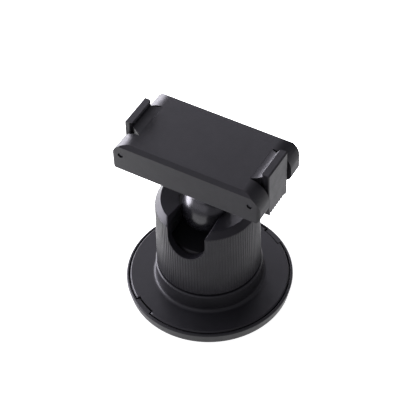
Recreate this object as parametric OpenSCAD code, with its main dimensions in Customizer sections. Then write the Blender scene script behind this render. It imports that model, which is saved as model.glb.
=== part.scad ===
// Magnetic ball-joint device mount: adhesive round base, captive notched
// locking sleeve, ball stud and a short plate with two sprung claws.
// Millimetres, +Z up, origin on the bottom of the pad under the ball.

/* [Overall] */
// outer diameter of the round base at its upper edge
base_d = 48; // [44:0.5:64]
// length of the device plate, end to end
plate_l = 45; // [42.6:0.2:64]
// width of the device plate
plate_w = 23.4; // [20:0.1:30]
// thickness of the device plate
plate_t = 9.9; // [8.4:0.1:12]
// clear height between the top of the sleeve and the plate
stand_off = 11.5; // [11:0.1:20]

/* [Base] */
// thickness of the adhesive foam pad
pad_t = 0.9; // [0.6:0.1:1.5]
// how far the pad stands out below the tray
pad_proud = 0.4; // [0.2:0.1:0.5]
// floor thickness of the tray
floor_t = 1.2; // [1:0.1:2]
// height of the tray rim above the ground
rim_h = 4.1; // [3.8:0.1:5.5]
// inward draft of the tray wall at its foot
rim_draft = 0.65; // [0:0.05:1]
// bevel on the outer upper edge of the rim
rim_bevel = 0.45; // [0.2:0.05:0.6]
// height of the disc face above the rim
disc_step = 0.3; // [0.1:0.05:0.6]
// width of the groove between rim and disc
groove_w = 0.35; // [0.2:0.05:0.5]
// wall thickness of the tray rim at its top
rim_wall = 0.75; // [0.6:0.05:1.2]
// direction of the two rim tabs around the base
tab_dir = 64; // [0:1:180]
// angle covered by each rim tab
tab_span = 15.4; // [10:0.2:24]
// how far each tab reaches in over the disc edge
tab_in = 1.0; // [0.6:0.1:1.6]
// radius of the concave root of the neck
root_r = 1.1; // [0.6:0.1:1.6]

/* [Locking sleeve] */
// outer diameter of the sleeve at its foot
sleeve_d = 29.6; // [28.8:0.1:36]
// draft of the sleeve radius over its height
sleeve_draft = 0.35; // [0:0.05:0.8]
// height of the fixed neck under the sleeve
neck_h = 5.9; // [5:0.05:9]
// height of the sleeve
sleeve_h = 24.5; // [24:0.1:30]
// gap between neck and sleeve
sleeve_gap = 0.4; // [0.15:0.05:0.5]
// height of the bevel round the top of the sleeve
top_bevel_h = 1.85; // [1:0.05:2.2]
// width of the bevel round the top of the sleeve
top_bevel_w = 1.55; // [1:0.05:1.8]
// depth of the dish in the top of the sleeve
dish_depth = 0.9; // [0.5:0.05:1]
// width of the drop notch
notch_w = 11.3; // [10.8:0.1:12.2]
// turn of the drop notch away from square to the plate
notch_turn = 3.4; // [0:0.1:8]
// depth of the notch below the ball centre
notch_depth = 6.9; // [6.2:0.1:8]
// extra width of the notch mouth on each side
mouth_w = 0.9; // [0.4:0.1:1.2]
// height of the flared notch mouth
mouth_h = 1.6; // [1:0.1:2]

/* [Ball joint] */
// diameter of the ball
ball_d = 14.6; // [13:0.1:17.6]
// depth of the ball centre below the top of the sleeve
ball_drop = 3.6; // [3.3:0.1:4.2]
// diameter of the stem on the ball
stem_d = 8.4; // [7.4:0.1:9]
// diameter of the shoulder under the plate
shoulder_d = 10.4; // [9.6:0.1:10.6]
// travel of the pressure cup when the sleeve is opened
cup_travel = 0.5; // [0.3:0.05:0.8]

/* [Plate and claws] */
// radius of the large rounding at the plate ends
end_r = 5.6; // [4:0.1:7]
// radius of the small rounding under the plate ends
foot_r = 2.2; // [0.6:0.1:2.6]
// rounding of the upright corners of the plate
corner_r = 1.0; // [0.6:0.1:2]
// bevel along the long upper edges
edge_bevel = 1.05; // [0.5:0.05:1.5]
// width of each claw
claw_w = 10.4; // [9:0.1:12]
// side gap between claw and plate
claw_side_gap = 1.0; // [0.4:0.1:1.4]
// distance from claw face back to the end of the plate
claw_inset = 0.6; // [0.4:0.1:2]
// height of the hooks above the plate
hook_h = 2.1; // [1.8:0.1:4]
// thickness of each hook
hook_t = 1.2; // [0.9:0.1:2]
// reach of each hook from the claw face
hook_reach = 2.5; // [2.3:0.05:4]
// radius of the hollow that runs up under each hook
ramp_r = 6; // [5:0.5:12]
// thickness of the claw blade
claw_t = 2.1; // [1.6:0.1:2.6]
// length of the finger part below the plate
claw_drop = 3.5; // [3:0.1:8]
// diameter of the claw pins
pin_d = 1.6; // [1.4:0.1:1.8]
// distance from claw face to pin
pin_inset = 2.3; // [2.1:0.1:3]

/* [Fits] */
// radial gap of turning and sliding parts
run_gap = 0.06; // [0.03:0.01:0.1]
// gap round fixed parts that drop into a pocket
seat_gap = 0.1; // [0.05:0.01:0.2]
// radial gap of parts pressed or screwed home
press_gap = 0.02; // [0.01:0.01:0.03]
// gap between the ball and its seats
ball_gap = 0.07; // [0.05:0.01:0.1]

/* [Smoothness] */
// segments of round shapes
$fn = 96; // [48:12:160]

/* [Hidden] */
base_r = base_d / 2;
tray_z = pad_proud;
floor_z0 = pad_t;
floor_z1 = pad_t + floor_t;
rim_in = base_r - rim_wall;
disc_r = rim_in - groove_w;
disc_z1 = rim_h + disc_step;
neck_z1 = disc_z1 + neck_h;
sleeve_r = sleeve_d / 2;
neck_r = sleeve_r + 0.5;
neck_bore = sleeve_r - 3.2;
sleeve_z0 = neck_z1 + sleeve_gap;
sleeve_z1 = sleeve_z0 + sleeve_h;
sleeve_rt = sleeve_r - sleeve_draft;
bore_r = sleeve_r - 2.4;
lip_z = sleeve_z1 - dish_depth - 0.35;
ball_r = ball_d / 2;
ball_z = sleeve_z1 - ball_drop;
ball_seat = ball_r + ball_gap;
dish_r = ball_r + 0.6;
web_z0 = neck_z1 - 2.35;
foot_z0 = web_z0 - 2.2;
post_r = sleeve_r - 5.8;
flange_z1 = sleeve_z0 + 2.5;
ring_z0 = flange_z1 + 0.15;
ring_t = 0.9;
post_z1 = ring_z0 + ring_t + 0.75;
key_r = post_r - 2;
key_flat = key_r - 1.4;
key_z1 = ball_z - ball_r - 3.3;
cup_z0 = key_z1 - 1.6;
cup_z1 = ball_z - notch_depth - 0.1;
cup_r = bore_r - 0.6;
liner_t = 0.9;
spring_z1 = cup_z0 - cup_travel - 0.05;
spring_t = 0.7;
cam_t = 2;
cam_z0 = spring_z1 - spring_t - cam_t;
cam_in = post_r + 0.3;
plate_z = sleeve_z1 + stand_off;
plate_z1 = plate_z + plate_t;
half_l = plate_l / 2;
half_w = plate_w / 2;
slot_half = claw_w / 2 + claw_side_gap;
face_x = half_l - claw_inset;
pin_x = face_x - pin_inset;
pin_r = pin_d / 2;
pin_z = plate_z + plate_t * 0.585;
slot_x = face_x - 5.0;
cover_t = 1.8;
cav_x = slot_x - 1.3;
cav_y = half_w - 1.9;
cav_z1 = plate_z1 - 1.8;
cover_x = cav_x + 0.4;
cover_y = cav_y + 0.4;
stem_r = stem_d / 2;
shoulder_r = shoulder_d / 2;
bush_r = stem_r + 1.7;
bush_flange = stem_r + 3.4;
bush_z1 = plate_z + cover_t + 1.1;
stud_r = 2.4;
cap_z0 = bush_z1 + 0.06;
stack_room = cav_z1 - cap_z0 - 0.45;
cap_t = min(1.1, stack_room * 0.42);
nut_t = min(1.5, stack_room * 0.58);
nut_r = 3.7;
yoke_z1 = cav_z1 - 1.0;
yoke_t = 0.7;
magnet_r = 3.6;
magnet_x = cav_x - magnet_r - 0.4;
boss_x = cav_x - 2.2;
boss_y = cav_y - 1.6;
screw_r = 0.9;
head_r = 1.7;
hook_z1 = plate_z1 + hook_h;
hook_x = face_x - hook_reach;
blade_x = face_x - claw_t;
claw_z0 = plate_z - claw_drop;
block_x = slot_x + run_gap;
strip_half = claw_w / 2 - 0.9;
pocket_half = 2.3;
coil_r = 1.15;
wire_r = 0.22;
pocket_r = coil_r + wire_r + 0.28;
base_screw_r = sleeve_r - 1.35;

// ---------- helpers ----------
module tube(ro, ri, z0, z1) {
  translate([0, 0, z0]) difference() {
    cylinder(r = ro, h = z1 - z0);
    translate([0, 0, -1]) cylinder(r = ri, h = z1 - z0 + 2);
  }
}

// a flat shape drawn in X and Z, run along Y
module along_y(half) {
  translate([0, half, 0]) rotate([90, 0, 0]) linear_extrude(height = 2 * half) children();
}

// a flat shape drawn in Y and Z, run along X
module along_x(half) {
  translate([-half, 0, 0]) rotate([90, 0, 90]) linear_extrude(height = 2 * half) children();
}

// rod along Y at a claw pin, for the right-hand side
module pin_rod(r, half, x = pin_x, z = pin_z) {
  translate([x, half, z]) rotate([90, 0, 0]) cylinder(r = r, h = 2 * half);
}

module flip(left) {
  if (left) mirror([1, 0, 0]) children();
  else children();
}

// open U with a flared mouth, drawn in X and Z, that lets the stem drop over
module notch_shape() {
  w = notch_w / 2;
  zb = ball_z - notch_depth;
  translate([0, zb + w]) circle(r = w);
  translate([-w, zb + w]) square([2 * w, sleeve_z1 - zb - w + 2]);
  polygon([[-w, sleeve_z1 - mouth_h], [w, sleeve_z1 - mouth_h],
    [w + mouth_w, sleeve_z1], [w + mouth_w, sleeve_z1 + 2],
    [-w - mouth_w, sleeve_z1 + 2], [-w - mouth_w, sleeve_z1]]);
}

module notch_cut() {
  rotate([0, 0, notch_turn]) rotate([90, 0, 0])
    linear_extrude(height = sleeve_r + 5) notch_shape();
}

// wedge sector from the axis, used for the rim tabs
module sector(span, r, z0, z1) {
  a = span / 2;
  translate([0, 0, z0]) linear_extrude(height = z1 - z0)
    polygon([[0, 0], [r * cos(a), -r * sin(a)], [r * 1.1, 0], [r * cos(a), r * sin(a)]]);
}

module both_tabs() {
  for (a = [tab_dir, tab_dir + 180]) rotate([0, 0, a]) children();
}

module screw(head, shaft, head_h, length) {
  difference() {
    union() {
      cylinder(r = head, h = head_h);
      translate([0, 0, head_h]) cylinder(r = shaft, h = length);
    }
    translate([-head, -0.2, -0.1]) cube([2 * head, 0.4, 0.45]);
    translate([-0.2, -head, -0.1]) cube([0.4, 2 * head, 0.45]);
  }
}

// ---------- base ----------
module adhesive_pad() {
  color("#2b2b2f") cylinder(r = base_r - 1.6, h = pad_t);
}

module base_tray() {
  color("#3a3a40") difference() {
    union() {
      rotate_extrude() polygon([
        [0, floor_z0], [base_r - 1.6 + seat_gap, floor_z0], [base_r - 1.6 + seat_gap, tray_z],
        [base_r - rim_draft, tray_z], [base_r, rim_h - rim_bevel],
        [base_r - rim_bevel * 0.7, rim_h], [rim_in, rim_h], [rim_in, floor_z1], [0, floor_z1]]);
      // raised ground under the foot of the post
      translate([0, 0, floor_z1]) cylinder(r = neck_bore - 0.6, h = foot_z0 - floor_z1);
      // tabs that hold the disc down and stop it turning
      both_tabs() intersection() {
        tube(rim_in + 0.2, rim_in - tab_in, floor_z1, rim_h);
        sector(tab_span, base_r, floor_z1, rim_h);
      }
    }
    for (i = [0 : 2]) rotate([0, 0, 120 * i + 10]) translate([base_screw_r, 0, 0]) {
      translate([0, 0, floor_z0 - 0.1]) cylinder(r = 1.7 + seat_gap, h = 0.75);
      cylinder(r = 1 + seat_gap, h = floor_z1 + 1);
    }
    translate([0, 0, floor_z0 - 0.1]) cylinder(r = 4.5, h = foot_z0 - floor_z0 + 1);
  }
}

module base_disc() {
  color("#3f3f45") difference() {
    union() {
      rotate_extrude() polygon([
        [neck_bore, floor_z1], [disc_r, floor_z1], [disc_r, disc_z1 - 0.35],
        [disc_r - 0.35, disc_z1], [neck_r + root_r, disc_z1],
        [neck_r + root_r * 0.617, disc_z1 + root_r * 0.076],
        [neck_r + root_r * 0.293, disc_z1 + root_r * 0.293],
        [neck_r + root_r * 0.076, disc_z1 + root_r * 0.617],
        [neck_r, disc_z1 + root_r], [neck_r, neck_z1 - 0.35],
        [neck_r - 0.35, neck_z1], [post_r + press_gap, neck_z1], [post_r + press_gap, web_z0],
        [neck_bore, web_z0]]);
    }
    both_tabs() intersection() {
      tube(base_r, rim_in - tab_in - groove_w, floor_z1 - 1, disc_z1 + 1);
      sector(tab_span + 2.2, base_r + 1, floor_z1 - 1, disc_z1 + 1);
    }
    for (i = [0 : 2]) rotate([0, 0, 120 * i + 10]) translate([base_screw_r, 0, floor_z1 - 1])
      cylinder(r = 1 + press_gap, h = 5.6);
  }
}

module base_screw(i) {
  color("#b9bcc2") rotate([0, 0, 120 * i + 10]) translate([base_screw_r, 0, floor_z0 + 0.05])
    screw(1.7, 1, 0.6, 4.9);
}
module base_screw_1() { base_screw(0); }
module base_screw_2() { base_screw(1); }
module base_screw_3() { base_screw(2); }

module centre_post() {
  color("#8f949c") difference() {
    union() {
      translate([0, 0, foot_z0]) cylinder(r = neck_bore - 0.2, h = web_z0 - foot_z0);
      translate([0, 0, web_z0]) cylinder(r = post_r, h = post_z1 - web_z0);
      intersection() {
        translate([0, 0, post_z1]) cylinder(r = key_r, h = key_z1 - post_z1);
        translate([-key_flat, -key_r, post_z1]) cube([2 * key_flat, 2 * key_r, key_z1 - post_z1]);
      }
    }
    tube(post_r + 1, post_r - 0.7, ring_z0 - 0.05, ring_z0 + ring_t + 0.05);
    translate([0, 0, foot_z0 - 1]) cylinder(r = 3.2, h = key_z1 - foot_z0 + 2);
  }
}

module retaining_ring() {
  color("#c9ccd2") difference() {
    tube(post_r + 2.2, post_r - 0.7 + press_gap, ring_z0, ring_z0 + ring_t);
    translate([0, -1.6, ring_z0 - 1]) cube([post_r + 4, 3.2, ring_t + 2]);
  }
}

// ---------- clamp ----------
module pressure_cup() {
  color("#1c1c1f") difference() {
    rotate_extrude() polygon([[0, cup_z0], [cup_r - 0.3, cup_z0], [cup_r, cup_z0 + 0.3],
      [cup_r, cup_z1 - 0.6], [cup_r - 0.6, cup_z1], [0, cup_z1]]);
    translate([0, 0, ball_z]) sphere(r = ball_seat + liner_t);
    intersection() {
      translate([0, 0, cup_z0 - 1]) cylinder(r = key_r + run_gap, h = key_z1 - cup_z0 + 1 + cup_travel + 0.3);
      translate([-key_flat - run_gap, -key_r - 1, cup_z0 - 1])
        cube([2 * (key_flat + run_gap), 2 * key_r + 2, key_z1 - cup_z0 + 1 + cup_travel + 0.3]);
    }
  }
}

module cup_liner() {
  color("#19191c") intersection() {
    difference() {
      translate([0, 0, ball_z]) sphere(r = ball_seat + liner_t);
      translate([0, 0, ball_z]) sphere(r = ball_seat);
      translate([0, 0, cup_z0]) cylinder(r = 2.2, h = 20);
    }
    translate([0, 0, ball_z - 2 * ball_r]) cylinder(r = 2 * ball_r, h = cup_z1 - ball_z + 2 * ball_r);
  }
}

// ---------- sleeve ----------
module lock_sleeve() {
  color("#35353b") difference() {
    rotate_extrude() polygon([
      [post_r + run_gap, sleeve_z0], [sleeve_r - 0.3, sleeve_z0], [sleeve_r, sleeve_z0 + 0.3],
      [sleeve_rt, sleeve_z1 - top_bevel_h], [sleeve_rt - top_bevel_w, sleeve_z1],
      [dish_r, sleeve_z1 - dish_depth], [dish_r, lip_z], [bore_r, lip_z],
      [bore_r, flange_z1], [post_r + run_gap, flange_z1]]);
    notch_cut();
  }
}

module socket_insert() {
  color("#1e1e22") difference() {
    translate([0, 0, ball_z - 2.6]) cylinder(r = bore_r - press_gap, h = lip_z - ball_z + 2.6);
    translate([0, 0, ball_z]) sphere(r = ball_seat);
    translate([0, 0, ball_z - 6]) cylinder(r = ball_seat, h = 6);
    notch_cut();
  }
}

module cam_ring() {
  color("#9aa0a8") difference() {
    tube(bore_r - press_gap, cam_in, cam_z0, cam_z0 + cam_t);
    for (a = [0, 90, 180, 270]) rotate([0, 0, a]) translate([(bore_r + cam_in) / 2, 0, cam_z0 - 1])
      cylinder(r = (bore_r - cam_in) / 5, h = cam_t + 2);
  }
}

module wave_spring() {
  color("#c9ccd2") rotate_extrude() polygon([
    [cam_in + 0.2, cam_z0 + cam_t], [cam_in + 0.8, cam_z0 + cam_t],
    [cup_r - 0.3, spring_z1 - 0.3], [cup_r - 0.3, spring_z1], [cup_r - 0.9, spring_z1],
    [cam_in + 0.2, cam_z0 + cam_t + 0.3]]);
}

// ---------- ball ----------
module ball_stud() {
  color("#4a4b50") union() {
    translate([0, 0, ball_z]) sphere(r = ball_r);
    translate([0, 0, ball_z]) cylinder(r = stem_r, h = bush_z1 + 0.06 - ball_z);
    translate([0, 0, plate_z - 0.9]) cylinder(r = shoulder_r, h = 0.85);
    translate([0, 0, bush_z1]) cylinder(r = stud_r, h = cap_z0 + cap_t + nut_t + 0.3 - bush_z1);
  }
}

module stud_cap() {
  color("#b9bcc2") tube(bush_flange - 0.5, stud_r + press_gap, cap_z0, cap_z0 + cap_t);
}

module stud_nut() {
  color("#c9ccd2") translate([0, 0, cap_z0 + cap_t]) difference() {
    linear_extrude(height = nut_t) polygon([for (i = [0 : 5]) [nut_r * cos(60 * i), nut_r * sin(60 * i)]]);
    translate([0, 0, -1]) cylinder(r = stud_r + press_gap, h = nut_t + 2);
  }
}

// ---------- plate ----------
// outline in X and Z with big upper and small lower end roundings
module plate_side() {
  union() {
    translate([-half_l + end_r, plate_z]) square([plate_l - 2 * end_r, plate_t]);
    translate([-half_l, plate_z + foot_r]) square([plate_l, plate_t - foot_r - end_r]);
    translate([-half_l + foot_r, plate_z]) square([plate_l - 2 * foot_r, plate_t - end_r]);
    for (s = [-1, 1]) {
      translate([s * (half_l - end_r), plate_z1 - end_r]) intersection() {
        circle(r = end_r);
        translate([-end_r - 1, 0]) square([2 * end_r + 2, end_r + 1]);
      }
      translate([s * (half_l - foot_r), plate_z + foot_r]) circle(r = foot_r);
    }
  }
}

// outline seen from above, upright corners rounded
module plate_plan() {
  cx = half_l - corner_r;
  cy = half_w - corner_r;
  polygon([for (q = [0 : 3], i = [0 : 5])
    [(q == 0 || q == 3 ? cx : -cx) + corner_r * cos(90 * q + 18 * i),
     (q < 2 ? cy : -cy) + corner_r * sin(90 * q + 18 * i)]]);
}

// outline seen from the end, long upper edges bevelled
module plate_end() {
  polygon([[-half_w + 0.4, plate_z], [half_w - 0.4, plate_z], [half_w, plate_z + 0.4],
    [half_w, plate_z1 - edge_bevel], [half_w - edge_bevel, plate_z1],
    [-half_w + edge_bevel, plate_z1], [-half_w, plate_z1 - edge_bevel], [-half_w, plate_z + 0.4]]);
}

module plate_body() {
  color("#45464b") difference() {
    union() {
      difference() {
        intersection() {
          along_y(half_w + 1) plate_side();
          translate([0, 0, plate_z - 1]) linear_extrude(height = plate_t + 2) plate_plan();
          along_x(half_l + 1) plate_end();
        }
        translate([-cav_x, -cav_y, plate_z - 1]) cube([2 * cav_x, 2 * cav_y, cav_z1 - plate_z + 1]);
        translate([-cover_x - seat_gap, -cover_y - seat_gap, plate_z - 1])
          cube([2 * (cover_x + seat_gap), 2 * (cover_y + seat_gap), cover_t + 1]);
      }
      for (x = [-1, 1], y = [-1, 1])
        translate([x * boss_x, y * boss_y, plate_z + cover_t]) cylinder(r = 1.9, h = cav_z1 - plate_z - cover_t + 0.2);
    }
    for (x = [-1, 1], y = [-1, 1])
      translate([x * boss_x, y * boss_y, plate_z]) cylinder(r = screw_r + press_gap, h = 6.3);
    for (s = [-1, 1]) {
      translate([s * magnet_x, 0, cav_z1 - 1]) cylinder(r = magnet_r + press_gap, h = 1.7);
      // open end recess for the claw
      translate([s > 0 ? slot_x : -half_l - 1, -slot_half, plate_z - 1])
        cube([half_l - slot_x + 1, 2 * slot_half, plate_t + 2]);
      translate([s * pin_x, half_w + 1, pin_z]) rotate([90, 0, 0]) cylinder(r = pin_r + press_gap, h = plate_w + 2);
    }
  }
}

module bottom_cover() {
  color("#3c3d42") difference() {
    translate([-cover_x, -cover_y, plate_z]) cube([2 * cover_x, 2 * cover_y, cover_t]);
    translate([0, 0, plate_z - 1]) cylinder(r = bush_r + press_gap, h = cover_t + 2);
    for (x = [-1, 1], y = [-1, 1]) translate([x * boss_x, y * boss_y, plate_z - 1]) {
      cylinder(r = head_r + seat_gap, h = 1.8);
      cylinder(r = screw_r + seat_gap, h = cover_t + 2);
    }
  }
}

module swivel_bushing() {
  color("#e6e2d6") difference() {
    union() {
      translate([0, 0, plate_z]) cylinder(r = bush_r, h = cover_t);
      translate([0, 0, plate_z + cover_t]) cylinder(r = bush_flange, h = bush_z1 - plate_z - cover_t);
    }
    translate([0, 0, plate_z - 1]) cylinder(r = stem_r + run_gap, h = 6);
  }
}

module magnet(s) {
  color("#c9ccd2") translate([s * magnet_x, 0, yoke_z1]) cylinder(r = magnet_r, h = cav_z1 + 0.7 - yoke_z1);
}
module magnet_left() { magnet(-1); }
module magnet_right() { magnet(1); }

module yoke_plate() {
  color("#9aa0a8") difference() {
    translate([-magnet_x - magnet_r, -nut_r - 1.8, yoke_z1 - yoke_t])
      cube([2 * (magnet_x + magnet_r), 2 * nut_r + 3.6, yoke_t]);
    translate([0, 0, yoke_z1 - yoke_t - 1]) cylinder(r = nut_r + 0.3, h = yoke_t + 2);
  }
}

module plate_screw(x, y) {
  color("#b9bcc2") translate([x * boss_x, y * boss_y, plate_z + 0.1]) screw(head_r, screw_r, 0.7, 4.6);
}
module plate_screw_1() { plate_screw(-1, -1); }
module plate_screw_2() { plate_screw(1, -1); }
module plate_screw_3() { plate_screw(1, 1); }
module plate_screw_4() { plate_screw(-1, 1); }

module pin(left) {
  color("#c9ccd2") flip(left) pin_rod(pin_r, half_w - 0.35);
}
module pin_left() { pin(true); }
module pin_right() { pin(false); }

// coil drawn as touching rings, with one leg on the recess wall
module claw_spring(left) {
  color("#b9bcc2") flip(left) union() {
    for (i = [-4 : 4]) translate([pin_x, i * wire_r * 1.9, pin_z]) rotate([90, 0, 0])
      rotate_extrude($fn = 36) translate([coil_r, 0]) circle(r = wire_r, $fn = 14);
    translate([slot_x + wire_r, 4 * wire_r * 1.9, pin_z - coil_r]) rotate([0, 90, 0])
      cylinder(r = wire_r, h = pin_x - slot_x - wire_r, $fn = 14);
  }
}
module spring_left() { claw_spring(true); }
module spring_right() { claw_spring(false); }

// ---------- claws ----------
// side outline of the right-hand claw in X and Z
module claw_side() {
  difference() {
    union() {
      // blade and finger part
      translate([blade_x, claw_z0]) square([claw_t, hook_z1 - claw_z0]);
      // block round the pin
      translate([pin_x, pin_z]) circle(r = pin_inset);
      translate([block_x, pin_z + 0.6]) square([face_x - block_x, plate_z1 - pin_z - 0.6]);
      // hollow that runs up from the plate face under the hook
      polygon([[block_x, plate_z1 - 1], [blade_x + 0.2, plate_z1 - 1],
        for (i = [8 : -1 : 0]) let (x = (blade_x + 0.2 - block_x) * i / 8)
          [block_x + x, plate_z1 + ramp_r - sqrt(ramp_r * ramp_r - x * x)]]);
      translate([pin_x - pin_inset, pin_z]) square([2 * pin_inset, 1.2]);
      // hook
      translate([hook_x, hook_z1 - hook_t]) square([hook_reach, hook_t]);
    }
    // eased upper edges of the hook
    translate([hook_x, hook_z1]) rotate(45) square(0.5, center = true);
    translate([face_x, hook_z1]) rotate(45) square(0.5, center = true);
  }
}

// outline seen from above: full width at the hook, tapering block inside
module claw_plan() {
  h = claw_w / 2;
  union() {
    translate([hook_x, -h + 1.2]) square([hook_reach, claw_w - 2.4]);
    translate([hook_x + 1.2, -h]) square([hook_reach - 1.2 - 0.35, claw_w]);
    translate([hook_x + 1.2, -h + 0.35]) square([hook_reach - 1.2, claw_w - 0.7]);
    for (y = [-1, 1]) {
      translate([face_x - 0.35, y * (h - 0.35)]) circle(r = 0.35);
      translate([hook_x + 1.2, y * (h - 1.2)]) circle(r = 1.2);
    }
  }
}

// outline seen from the end in Y and Z: rounded lower corners
module claw_end() {
  h = claw_w / 2;
  r = 1.5;
  union() {
    translate([-h - 2, claw_z0 + r]) square([claw_w + 4, hook_z1 - claw_z0 - r + 1]);
    translate([-h + r, claw_z0]) square([claw_w - 2 * r, r + 1]);
    for (y = [-1, 1]) translate([y * (h - r), claw_z0 + r]) circle(r = r);
  }
}

module claw_block_plan() {
  polygon([[slot_x - 0.1, -slot_half + 0.15], [blade_x + 0.2, -claw_w / 2 + 0.75], [face_x - 0.9, -claw_w / 2 + 0.75],
    [face_x - 0.9, claw_w / 2 - 0.75], [blade_x + 0.2, claw_w / 2 - 0.75], [slot_x - 0.1, slot_half - 0.15]]);
}

module claw(left) {
  color("#4b4c51") flip(left) difference() {
    union() {
      // blade, hook and finger part
      intersection() {
        along_y(claw_w) claw_side();
        translate([0, 0, claw_z0 - 1]) linear_extrude(height = hook_z1 - claw_z0 + 2) claw_plan();
        translate([face_x, 0, 0]) along_x(8) claw_end();
      }
      // tapering block round the pin
      intersection() {
        along_y(claw_w) claw_side();
        translate([0, 0, claw_z0 - 1]) linear_extrude(height = hook_z1 - hook_t - claw_z0 + 1) claw_block_plan();
      }
    }
    pin_rod(pin_r + run_gap, claw_w);
    // pocket for the coil
    pin_rod(pocket_r, pocket_half);
    translate([slot_x - 1, -pocket_half, pin_z - pocket_r]) cube([pin_x - slot_x + 1, 2 * pocket_half, 2 * pocket_r]);
    // sunk strip with short upright grooves along the finger edge
    translate([face_x - 0.3, -strip_half, claw_z0 - 1]) cube([1, 2 * strip_half, 2.15]);
    for (i = [-3 : 3]) translate([face_x - 0.5, i * strip_half * 0.27 - 0.2, claw_z0 - 1]) cube([1, 0.4, 1.9]);
  }
}
module claw_left() { claw(true); }
module claw_right() { claw(false); }

// ---------- assembly ----------
adhesive_pad();
base_tray();
base_disc();
base_screw_1();
base_screw_2();
base_screw_3();
centre_post();
retaining_ring();
pressure_cup();
cup_liner();
lock_sleeve();
socket_insert();
cam_ring();
wave_spring();
ball_stud();
stud_cap();
stud_nut();
plate_body();
bottom_cover();
swivel_bushing();
magnet_left();
magnet_right();
yoke_plate();
plate_screw_1();
plate_screw_2();
plate_screw_3();
plate_screw_4();
pin_left();
pin_right();
spring_left();
spring_right();
claw_left();
claw_right();
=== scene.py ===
import bpy
import bmesh
import math
from mathutils import Matrix, Quaternion, Vector


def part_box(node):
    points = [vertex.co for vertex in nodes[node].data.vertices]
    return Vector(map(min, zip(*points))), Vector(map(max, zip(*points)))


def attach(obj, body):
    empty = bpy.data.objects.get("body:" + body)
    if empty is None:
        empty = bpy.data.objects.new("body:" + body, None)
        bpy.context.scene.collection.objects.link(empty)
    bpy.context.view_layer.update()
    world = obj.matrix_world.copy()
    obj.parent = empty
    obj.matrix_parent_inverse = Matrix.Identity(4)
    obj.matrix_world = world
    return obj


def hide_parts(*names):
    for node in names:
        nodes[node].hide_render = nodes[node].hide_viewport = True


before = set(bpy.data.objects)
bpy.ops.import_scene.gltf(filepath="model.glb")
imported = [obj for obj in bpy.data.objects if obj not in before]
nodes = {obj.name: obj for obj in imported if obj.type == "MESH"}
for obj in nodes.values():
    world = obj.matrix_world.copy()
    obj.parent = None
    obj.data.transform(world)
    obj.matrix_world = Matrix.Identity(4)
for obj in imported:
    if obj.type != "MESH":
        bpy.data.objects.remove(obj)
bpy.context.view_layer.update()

# ---------------------------------------------------------------- studio
# A pale table top that glows a little all over, and glows more to the left and behind
# as a painted pool of light from the left window. It sits under a wide low window on the left,
# a high one behind and a broad soft panel in front. The long lens looks down at the mount from the front right.
room_tint = (0.91, 0.885, 1.0)
eye = Vector((0.161509, -0.269435, 0.372494))
aim = Vector((0.000101, 0.000061, 0.030683))
lens = bpy.data.cameras.new("camera")
lens.lens = 145.207
lens.sensor_width = 36.0
lens.clip_start = 0.02
lens.clip_end = 20.0
camera = bpy.data.objects.new("camera", lens)
camera.rotation_mode = "QUATERNION"
camera.location = eye
camera.rotation_quaternion = (aim - eye).to_track_quat("-Z", "Y") @ Quaternion((0, 0, 1), math.radians(-1.8905))
bpy.context.scene.collection.objects.link(camera)
bpy.context.scene.camera = camera
bpy.context.scene.view_settings.view_transform = "Standard"

table_bm = bmesh.new()
bmesh.ops.create_circle(table_bm, cap_ends=True, segments=96, radius=1.6)
bmesh.ops.translate(table_bm, verts=table_bm.verts, vec=(0, 0, -0.00003))
table_mesh = bpy.data.meshes.new("table_top")
table_bm.to_mesh(table_mesh)
table_bm.free()
table_top = bpy.data.objects.new("table_top", table_mesh)
bpy.context.scene.collection.objects.link(table_top)
table_white = bpy.data.materials.new("table_white")
table_white.use_nodes = True
paper = table_white.node_tree.nodes["Principled BSDF"]
paper.inputs["Base Color"].default_value = (0.35, 0.35, 0.35, 1)
paper.inputs["Emission Color"].default_value = (1.0, 1.0, 1.0, 1)
table_tree = table_white.node_tree
spot = table_tree.nodes.new("ShaderNodeTexCoord")
slant = table_tree.nodes.new("ShaderNodeVectorMath")
slant.operation = "DOT_PRODUCT"
slant.inputs[1].default_value = (-0.8, 0.6, 0)
# painted light: the table's emission rises from 0.93 to 3.2 towards the left and behind, a painted pool of the left
# window's light
painted_window_pool = table_tree.nodes.new("ShaderNodeMapRange")
painted_window_pool.interpolation_type = "SMOOTHSTEP"
painted_window_pool.inputs["From Min"].default_value = 0.0
painted_window_pool.inputs["From Max"].default_value = 0.035
painted_window_pool.inputs["To Min"].default_value = 0.93
painted_window_pool.inputs["To Max"].default_value = 3.2
table_tree.links.new(spot.outputs["Object"], slant.inputs[0])
table_tree.links.new(slant.outputs["Value"], painted_window_pool.inputs["Value"])
table_tree.links.new(painted_window_pool.outputs["Result"], paper.inputs["Emission Strength"])
paper.inputs["Roughness"].default_value = 0.9
paper.inputs["Specular IOR Level"].default_value = 0.1
table_mesh.materials.append(table_white)


def window(name, where, towards, width, height, watts):
    lamp = bpy.data.lights.new(name, "AREA")
    lamp.shape = "RECTANGLE"
    lamp.size = width
    lamp.size_y = height
    lamp.energy = watts
    lamp.color = room_tint
    pane = bpy.data.objects.new(name, lamp)
    pane.location = where
    pane.rotation_mode = "QUATERNION"
    pane.rotation_quaternion = (Vector(towards) - Vector(where)).to_track_quat("-Z", "Y")
    bpy.context.scene.collection.objects.link(pane)


window("left_window", (-0.64, 0.14, 0.17), (0, 0, 0.04), 1.2, 0.34, 19.5)
window("back_window", (-0.25, 0.55, 0.75), (0, 0, 0.03), 0.5, 0.4, 1.0)
window("front_fill", (-0.12, -0.74, 0.54), (0, 0, 0.03), 1.2, 0.5, 1.5)

room = bpy.data.worlds.new("room")
room.use_nodes = True
room.node_tree.nodes["Background"].inputs["Color"].default_value = (*room_tint, 1)
room.node_tree.nodes["Background"].inputs["Strength"].default_value = 0.45
bpy.context.scene.world = room


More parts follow.
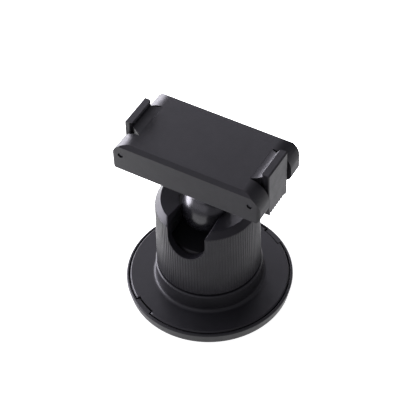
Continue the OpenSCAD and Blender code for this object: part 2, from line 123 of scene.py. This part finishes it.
# ---------------------------------------------------------------- adhesive pad
# Round pad of black closed-cell foam with a sticky face, pressed into the
# underside of the tray. Its cut edge is open foam, so it is the roughest part.
def foam(name, colour, cell, depth):
    finish = bpy.data.materials.new(name)
    finish.use_nodes = True
    tree = finish.node_tree
    skin = tree.nodes["Principled BSDF"]
    skin.inputs["Roughness"].default_value = 0.92
    skin.inputs["Specular IOR Level"].default_value = 0.25
    place = tree.nodes.new("ShaderNodeTexCoord")
    cells = tree.nodes.new("ShaderNodeTexVoronoi")
    cells.inputs["Scale"].default_value = cell
    tree.links.new(place.outputs["Object"], cells.inputs["Vector"])
    tone = tree.nodes.new("ShaderNodeValToRGB")
    tone.color_ramp.elements[0].position = 0.05
    tone.color_ramp.elements[0].color = (*[c * 1.5 for c in colour], 1)
    tone.color_ramp.elements[1].position = 0.75
    tone.color_ramp.elements[1].color = (*[c * 0.5 for c in colour], 1)
    tree.links.new(cells.outputs["Distance"], tone.inputs["Fac"])
    tree.links.new(tone.outputs["Color"], skin.inputs["Base Color"])
    relief = tree.nodes.new("ShaderNodeBump")
    relief.invert = True
    relief.inputs["Strength"].default_value = 0.7
    relief.inputs["Distance"].default_value = depth
    tree.links.new(cells.outputs["Distance"], relief.inputs["Height"])
    tree.links.new(relief.outputs["Normal"], skin.inputs["Normal"])
    return finish


def dress(node, finish):
    nodes[node].material_slots[0].material = finish


dress("adhesive_pad", foam("pad_foam", (0.018, 0.018, 0.02), 2600, 0.00012))


# ---------------------------------------------------------------- base tray
# Shallow black tray, moulded in glass-filled nylon with a fine spark-eroded
# skin. Two tabs on its rim hold the disc down. Every edge is slightly eased.
def moulded(name, colour, rough, grain, depth, mottle=0.14, spread=0.035):
    finish = bpy.data.materials.new(name)
    finish.use_nodes = True
    tree = finish.node_tree
    skin = tree.nodes["Principled BSDF"]
    skin.inputs["IOR"].default_value = 1.42
    skin.inputs["Specular IOR Level"].default_value = 0.32
    place = tree.nodes.new("ShaderNodeTexCoord")
    cloud = tree.nodes.new("ShaderNodeTexNoise")
    cloud.inputs["Scale"].default_value = 160
    cloud.inputs["Detail"].default_value = 5
    cloud.inputs["Roughness"].default_value = 0.6
    tree.links.new(place.outputs["Object"], cloud.inputs["Vector"])
    tone = tree.nodes.new("ShaderNodeValToRGB")
    tone.color_ramp.elements[0].position = 0.3
    tone.color_ramp.elements[0].color = (*[c * (1 - mottle) for c in colour], 1)
    tone.color_ramp.elements[1].position = 0.7
    tone.color_ramp.elements[1].color = (*[c * (1 + mottle) for c in colour], 1)
    tree.links.new(cloud.outputs["Fac"], tone.inputs["Fac"])
    tree.links.new(tone.outputs["Color"], skin.inputs["Base Color"])
    handled = tree.nodes.new("ShaderNodeTexNoise")
    handled.inputs["Scale"].default_value = 420
    handled.inputs["Detail"].default_value = 3
    tree.links.new(place.outputs["Object"], handled.inputs["Vector"])
    shine = tree.nodes.new("ShaderNodeMapRange")
    shine.inputs["From Min"].default_value = 0.3
    shine.inputs["From Max"].default_value = 0.7
    shine.inputs["To Min"].default_value = rough - spread
    shine.inputs["To Max"].default_value = rough + spread
    tree.links.new(handled.outputs["Fac"], shine.inputs["Value"])
    tree.links.new(shine.outputs["Result"], skin.inputs["Roughness"])
    spark = tree.nodes.new("ShaderNodeTexNoise")
    spark.inputs["Scale"].default_value = grain
    spark.inputs["Detail"].default_value = 2
    tree.links.new(place.outputs["Object"], spark.inputs["Vector"])
    relief = tree.nodes.new("ShaderNodeBump")
    relief.inputs["Strength"].default_value = 0.6
    relief.inputs["Distance"].default_value = depth
    tree.links.new(spark.outputs["Fac"], relief.inputs["Height"])
    tree.links.new(relief.outputs["Normal"], skin.inputs["Normal"])
    return finish


def eased(node, name, body, ease, finish, slot, steps=2, crease=28, crisp=lambda edge: False):
    part = bmesh.new()
    part.from_mesh(nodes[node].data)
    bmesh.ops.remove_doubles(part, verts=part.verts, dist=1e-6)
    bmesh.ops.dissolve_limit(part, angle_limit=math.radians(0.4), verts=part.verts, edges=part.edges)
    corners = [e for e in part.edges
               if len(e.link_faces) == 2 and e.calc_face_angle(0) > math.radians(crease) and not crisp(e)]
    bmesh.ops.bevel(part, geom=corners, offset=ease, offset_type="OFFSET", affect="EDGES", segments=steps,
                    profile=0.5, material=-1, clamp_overlap=True)
    return settle(part, name, body, finish, slot, node)


def settle(part, name, body, finish, slot, *stands_for):
    mesh = bpy.data.meshes.new(name)
    part.to_mesh(mesh)
    part.free()
    for face in mesh.polygons:
        face.use_smooth = True
    mesh.set_sharp_from_angle(angle=math.radians(40))
    mesh.materials.clear()
    mesh.materials.append(finish)
    piece = bpy.data.objects.new(name, mesh)
    bpy.context.scene.collection.objects.link(piece)
    level = piece.modifiers.new("level", "WEIGHTED_NORMAL")
    level.mode = "FACE_AREA"
    level.weight = 100
    level.keep_sharp = True
    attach(piece, body)
    if stands_for:
        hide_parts(*stands_for)
    return piece


moulded_black = (0.0105, 0.0103, 0.0118)
tray_nylon = moulded("tray_nylon", moulded_black, 0.42, 3800, 0.00003)
eased("base_tray", "moulded_tray", "base", 0.00010, tray_nylon, "housing")


# ---------------------------------------------------------------- base disc
# Satin disc with the turned-up neck, moulded in one piece and dropped into
# the tray. The neck's upper edge catches the light under the sleeve.
disc_satin = moulded("disc_satin", moulded_black, 0.40, 4200, 0.00002)
eased("base_disc", "moulded_disc", "base", 0.00010, disc_satin, "disc")


# ---------------------------------------------------------------- base screws
# Three zinc-plated cross-recess screws that hold tray and disc together from
# below, hidden by the pad.
def plated(name, colour, rough, grain=2400, depth=0.00001):
    finish = bpy.data.materials.new(name)
    finish.use_nodes = True
    tree = finish.node_tree
    skin = tree.nodes["Principled BSDF"]
    skin.inputs["Metallic"].default_value = 1.0
    place = tree.nodes.new("ShaderNodeTexCoord")
    dull = tree.nodes.new("ShaderNodeTexNoise")
    dull.inputs["Scale"].default_value = 700
    dull.inputs["Detail"].default_value = 4
    tree.links.new(place.outputs["Object"], dull.inputs["Vector"])
    tone = tree.nodes.new("ShaderNodeValToRGB")
    tone.color_ramp.elements[0].position = 0.3
    tone.color_ramp.elements[0].color = (*[c * 0.78 for c in colour], 1)
    tone.color_ramp.elements[1].position = 0.7
    tone.color_ramp.elements[1].color = (*colour, 1)
    tree.links.new(dull.outputs["Fac"], tone.inputs["Fac"])
    tree.links.new(tone.outputs["Color"], skin.inputs["Base Color"])
    shine = tree.nodes.new("ShaderNodeMapRange")
    shine.inputs["To Min"].default_value = rough - 0.08
    shine.inputs["To Max"].default_value = rough + 0.1
    tree.links.new(dull.outputs["Fac"], shine.inputs["Value"])
    tree.links.new(shine.outputs["Result"], skin.inputs["Roughness"])
    lines = tree.nodes.new("ShaderNodeTexNoise")
    lines.inputs["Scale"].default_value = grain
    tree.links.new(place.outputs["Object"], lines.inputs["Vector"])
    relief = tree.nodes.new("ShaderNodeBump")
    relief.inputs["Strength"].default_value = 0.4
    relief.inputs["Distance"].default_value = depth
    tree.links.new(lines.outputs["Fac"], relief.inputs["Height"])
    tree.links.new(relief.outputs["Normal"], skin.inputs["Normal"])
    return finish


zinc = plated("zinc_plate", (0.62, 0.63, 0.65), 0.34)
for screw in ("base_screw_1", "base_screw_2", "base_screw_3"):
    dress(screw, zinc)


# ---------------------------------------------------------------- centre post
# Turned aluminium post standing on the tray, with a split steel ring in its
# groove that keeps the sleeve from lifting off. Fine rings are left by the tool.
def turned(name, colour, rough, pitch):
    finish = plated(name, colour, rough)
    tree = finish.node_tree
    skin = tree.nodes["Principled BSDF"]
    place = tree.nodes["Texture Coordinate"]
    rings = tree.nodes.new("ShaderNodeTexWave")
    rings.wave_type = "BANDS"
    rings.bands_direction = "Z"
    rings.inputs["Scale"].default_value = pitch
    rings.inputs["Distortion"].default_value = 0.6
    tree.links.new(place.outputs["Object"], rings.inputs["Vector"])
    cut = tree.nodes.new("ShaderNodeBump")
    cut.inputs["Strength"].default_value = 0.35
    cut.inputs["Distance"].default_value = 0.00003
    tree.links.new(rings.outputs["Fac"], cut.inputs["Height"])
    tree.links.new(tree.nodes["Bump"].outputs["Normal"], cut.inputs["Normal"])
    tree.links.new(cut.outputs["Normal"], skin.inputs["Normal"])
    return finish


turned_alloy = turned("turned_alloy", (0.55, 0.56, 0.58), 0.36, 900)
dress("centre_post", turned_alloy)
dress("retaining_ring", zinc)


# ---------------------------------------------------------------- pressure cup
# Black acetal cup that slides on the keyed post and pushes the ball up into
# its seat, lined with a thin slippery shell. Both are black plastic, and both are set darker
# than the other black mouldings as painted shade for their place deep in the notch.
# painted shade: cup and liner colours sit below the 0.0105 black of the other mouldings because they lie deep in the
# notch
cup_black_and_shade = moulded("cup_black_and_shade", (0.008, 0.008, 0.009), 0.45, 3000, 0.00001)
liner_black_and_shade = moulded("liner_black_and_shade", (0.007, 0.007, 0.008), 0.32, 3000, 0.000005)
dress("pressure_cup", cup_black_and_shade)
dress("cup_liner", liner_black_and_shade)


# ---------------------------------------------------------------- locking sleeve
# Black sleeve turned by hand to free the ball. Its wall is moulded with 110
# fine upright ribs from the foot to the bevel, cut away along the drop notch.
sleeve_black = moulded("sleeve_black", (0.0105, 0.0102, 0.0125), 0.38, 4200, 0.00002, 0.18, 0.03)
sleeve_low, sleeve_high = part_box("lock_sleeve")
foot_radius = sleeve_high.x
draft = 0.00035
rib_count = 110
rib_width = 0.00046
rib_proud = 0.00008
rib_foot = sleeve_low.z + 0.0005
rib_top = sleeve_high.z - 0.00185 - 0.0002
notch_middle = math.radians(-90 + 3.4)
notch_half = 0.00565
notch_round = sleeve_high.z - 0.0036 - 0.0069 + notch_half

sleeve = bmesh.new()
sleeve.from_mesh(nodes["lock_sleeve"].data)
bmesh.ops.remove_doubles(sleeve, verts=sleeve.verts, dist=1e-6)
bmesh.ops.dissolve_limit(sleeve, angle_limit=math.radians(0.4), verts=sleeve.verts, edges=sleeve.edges)
rims = [e for e in sleeve.edges if len(e.link_faces) == 2 and e.calc_face_angle(0) > math.radians(26)]
bmesh.ops.bevel(sleeve, geom=rims, offset=0.00022, offset_type="OFFSET", affect="EDGES", segments=2, profile=0.5,
                material=-1, clamp_overlap=True)
for i in range(rib_count):
    turn = 2 * math.pi * (i + 0.5) / rib_count
    aside = foot_radius * math.sin(turn - notch_middle)
    top = rib_top
    if math.cos(turn - notch_middle) > 0 and abs(aside) < notch_half + 0.0004:
        top = notch_round - math.sqrt(max(0.0, (notch_half + 0.0004) ** 2 - aside ** 2))
    height = top - rib_foot
    rib = bmesh.ops.create_cube(sleeve, size=1.0)["verts"]
    bmesh.ops.scale(sleeve, verts=rib, vec=(0.0006, rib_width, height))
    outer = [e for v in rib for e in v.link_edges if all(p.co.x > 0 for p in e.verts)]
    made = bmesh.ops.bevel(sleeve, geom=list(set(outer)), offset=0.00010, offset_type="OFFSET", affect="EDGES",
                           segments=2, profile=0.5, material=-1, clamp_overlap=True)
    rib = list({v for f in made["faces"] for v in f.verts} | {v for v in rib if v.is_valid})
    lean = draft * 0.5 * (height / (sleeve_high.z - sleeve_low.z))
    middle = foot_radius - draft * ((rib_foot + top) / 2 - sleeve_low.z) / (sleeve_high.z - sleeve_low.z)
    bmesh.ops.rotate(sleeve, verts=rib, cent=(0, 0, 0), matrix=Matrix.Rotation(-math.atan2(2 * lean, height), 3, "Y"))
    bmesh.ops.translate(sleeve, verts=rib, vec=(middle + rib_proud - 0.0003, 0, (rib_foot + top) / 2))
    bmesh.ops.rotate(sleeve, verts=rib, cent=(0, 0, 0), matrix=Matrix.Rotation(turn, 3, "Z"))
settle(sleeve, "ribbed_sleeve", "sleeve", sleeve_black, "sleeve", "lock_sleeve")


# ---------------------------------------------------------------- sleeve inside
# Smooth black seat ring pressed in under the dish, a steel cam ring below it
# and a dished spring that lifts the pressure cup. All turn with the sleeve.
dress("socket_insert", moulded("seat_black", (0.008, 0.008, 0.009), 0.30, 3000, 0.000008))
dress("cam_ring", turned("cam_steel", (0.50, 0.51, 0.53), 0.38, 1400))
spring_steel = plated("spring_steel", (0.48, 0.49, 0.52), 0.30)
dress("wave_spring", spring_steel)


# ---------------------------------------------------------------- ball stud
# Steel ball and stem, ground smooth and enamelled gloss black, with a turned
# shoulder under the plate. A cap and nut inside the plate hold the stem.
def enamel(name, colour, rough):
    finish = moulded(name, colour, rough, 900, 0.000004, 0.1, 0.02)
    skin = finish.node_tree.nodes["Principled BSDF"]
    skin.inputs["IOR"].default_value = 1.6
    skin.inputs["Specular IOR Level"].default_value = 0.5
    return finish


def polyline(part, start, *stations):
    edges = []
    for radius, height in stations:
        tip = part.verts.new((radius, 0, height))
        edges.append(part.edges.new((start, tip)))
        start = tip
    return edges


ball_low, ball_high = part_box("ball_stud")
plate_low, plate_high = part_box("plate_body")
ball_radius = 0.0073
ball_middle = 0.0316
stem_radius = 0.0042
shoulder_radius = 0.0052
stud_radius = 0.0024
stem_top = plate_low.z + 0.0029
enamel_steel = enamel("ball_enamel", (0.010, 0.010, 0.012), 0.26)
stud = bmesh.new()
pole = stud.verts.new((0, 0, ball_middle - ball_radius))
bmesh.ops.spin(stud, geom=[pole], cent=(0, 0, ball_middle), axis=(0, -1, 0), steps=48,
               angle=math.pi - math.asin((stem_radius + 0.00015) / ball_radius))
shore = max(stud.verts, key=lambda v: v.co.z)
polyline(stud, shore, (stem_radius + 0.00004, shore.co.z + 0.00015), (stem_radius, shore.co.z + 0.0004),
         (stem_radius, plate_low.z - 0.0009), (shoulder_radius - 0.00015, plate_low.z - 0.0009),
         (shoulder_radius, plate_low.z - 0.00075), (shoulder_radius, plate_low.z - 0.00020),
         (shoulder_radius - 0.00015, plate_low.z - 0.00005), (stem_radius, plate_low.z - 0.00005),
         (stem_radius, stem_top), (stud_radius, stem_top), (stud_radius, ball_high.z - 0.0002),
         (stud_radius - 0.0002, ball_high.z), (0.0, ball_high.z))
bmesh.ops.spin(stud, geom=stud.verts[:] + stud.edges[:], cent=(0, 0, 0), axis=(0, 0, 1), angle=2 * math.pi, steps=128,
               use_merge=True)
bmesh.ops.remove_doubles(stud, verts=stud.verts, dist=1e-6)
bmesh.ops.recalc_face_normals(stud, faces=stud.faces)
settle(stud, "turned_ball_stud", "ball", enamel_steel, "ball_metal", "ball_stud")
dress("stud_cap", turned_alloy)
dress("stud_nut", zinc)


# ---------------------------------------------------------------- plate body
# Moulded black plate, rounded at both ends and bevelled along its long edges,
# with an open slot at each end for a claw. Fine matte skin, eased corners.
plate_matte = moulded("plate_matte", moulded_black, 0.44, 4200, 0.00003)
slot_end = 0.0169


def at_slot_end(edge, below, beside):
    a, b = (v.co for v in edge.verts)
    return min(a.z, b.z) > plate_high.z - below and all(abs(abs(p.x) - slot_end) < beside for p in (a, b))


eased("plate_body", "moulded_plate", "plate", 0.00012, plate_matte, "plate",
      crisp=lambda edge: at_slot_end(edge, 0.0003, 0.0003))


# ---------------------------------------------------------------- plate inside
# Cover under the plate with four screws, the pale bushing the stem turns in,
# two nickel-plated magnets on a steel yoke, and the claw pins and springs.
dress("bottom_cover", moulded("cover_black", (0.018, 0.018, 0.020), 0.5, 3600, 0.00003))
dress("swivel_bushing", moulded("bushing_nylon", (0.62, 0.60, 0.53), 0.4, 2600, 0.00001, 0.05))
nickel = plated("nickel_plate", (0.72, 0.71, 0.69), 0.20)
dress("magnet_left", nickel)
dress("magnet_right", nickel)
dress("yoke_plate", zinc)
for screw in ("plate_screw_1", "plate_screw_2", "plate_screw_3", "plate_screw_4"):
    dress(screw, zinc)
dress("pin_left", plated("pin_black", (0.05, 0.05, 0.055), 0.35))
dress("pin_right", bpy.data.materials["pin_black"])
dress("spring_left", spring_steel)
dress("spring_right", spring_steel)


# ---------------------------------------------------------------- claws
# Two black claws that turn on the pins, each with a hook over the plate and a
# finger lip below it, moulded with the same fine skin but a little smoother.
claw_black = moulded("claw_black", moulded_black, 0.40, 4200, 0.00002)
for side in ("left", "right"):
    eased("claw_" + side, "moulded_claw_" + side, side + "_claw", 0.00012, claw_black, "claw",
          crisp=lambda edge: at_slot_end(edge, 0.0012, 0.0004))
